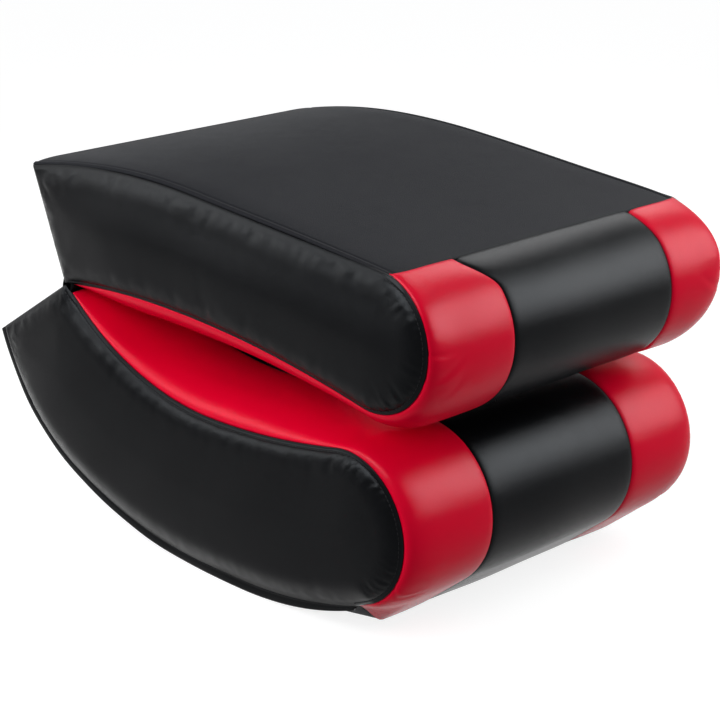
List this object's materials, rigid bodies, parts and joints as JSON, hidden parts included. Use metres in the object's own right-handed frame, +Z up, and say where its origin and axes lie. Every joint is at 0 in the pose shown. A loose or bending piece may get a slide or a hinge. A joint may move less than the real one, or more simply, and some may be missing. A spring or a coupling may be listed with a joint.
{
  "type": "folding floor rocker chair",
  "caption": "Folding floor rocker chair for gaming: curved padded seat half on a rocker base, and a padded back half hinged at its rear, stored folded over the seat.",
  "frame": {"origin": "on the floor, at the centre of the folded chair's outline seen from above", "axes": "+Z up, +Y to the rear, where the knee is, +X to the sitter's left"},
  "size_m": [0.44, 0.684, 0.413],
  "materials": {
    "vinyl_black": "satin",
    "vinyl_red": "satin",
    "panel_cloth": "matte",
    "foam": "matte",
    "webbing": "matte",
    "plywood": "matte",
    "pine": "matte",
    "hardboard": "matte",
    "zinc_steel": "satin"
  },
  "bodies": {
    "seat": {"hinge_pins": "zinc_steel", "knee_flap": "vinyl_black", "seat_base_cover": "panel_cloth", "seat_base_rail": "pine", "seat_corner_blocks": "pine", "seat_cover_black_centre": "vinyl_black", "seat_cover_red_left": "vinyl_red", "seat_cover_red_right": "vinyl_red", "seat_end_cover": "vinyl_black", "seat_face_foam": "foam", "seat_frame_screws": "zinc_steel", "seat_front_rail": "pine", "seat_hinge_leaves": "zinc_steel", "seat_hinge_rail": "pine", "seat_leaf_screws": "zinc_steel", "seat_nose_foam": "foam", "seat_rear_rail": "pine", "seat_side_board_left": "plywood", "seat_side_board_right": "plywood", "seat_side_cover_left": "vinyl_black", "seat_side_cover_right": "vinyl_black", "seat_side_pad_left": "foam", "seat_side_pad_right": "foam", "seat_skin_board": "hardboard", "seat_straps": "webbing"},
    "back": {"back_corner_blocks": "pine", "back_cover_black_centre": "vinyl_black", "back_cover_red_left": "vinyl_red", "back_cover_red_right": "vinyl_red", "back_end_cover": "vinyl_black", "back_face_foam": "foam", "back_frame_screws": "zinc_steel", "back_hinge_leaves": "zinc_steel", "back_hinge_rail": "pine", "back_leaf_screws": "zinc_steel", "back_middle_rail": "pine", "back_nose_foam": "foam", "back_panel_cover": "panel_cloth", "back_rear_rail": "pine", "back_side_board_left": "plywood", "back_side_board_right": "plywood", "back_side_cover_left": "vinyl_black", "back_side_cover_right": "vinyl_black", "back_side_pad_left": "foam", "back_side_pad_right": "foam", "back_skin_board": "hardboard", "back_straps": "webbing", "back_top_rail": "pine"}
  },
  "joints": [
    {"name": "back_fold", "type": "hinge", "parent": "seat", "child": "back", "pos_m": [0, 0.215, 0.268], "axis": [-1, 0, 0], "range_deg": [0, 100]}
  ]
}
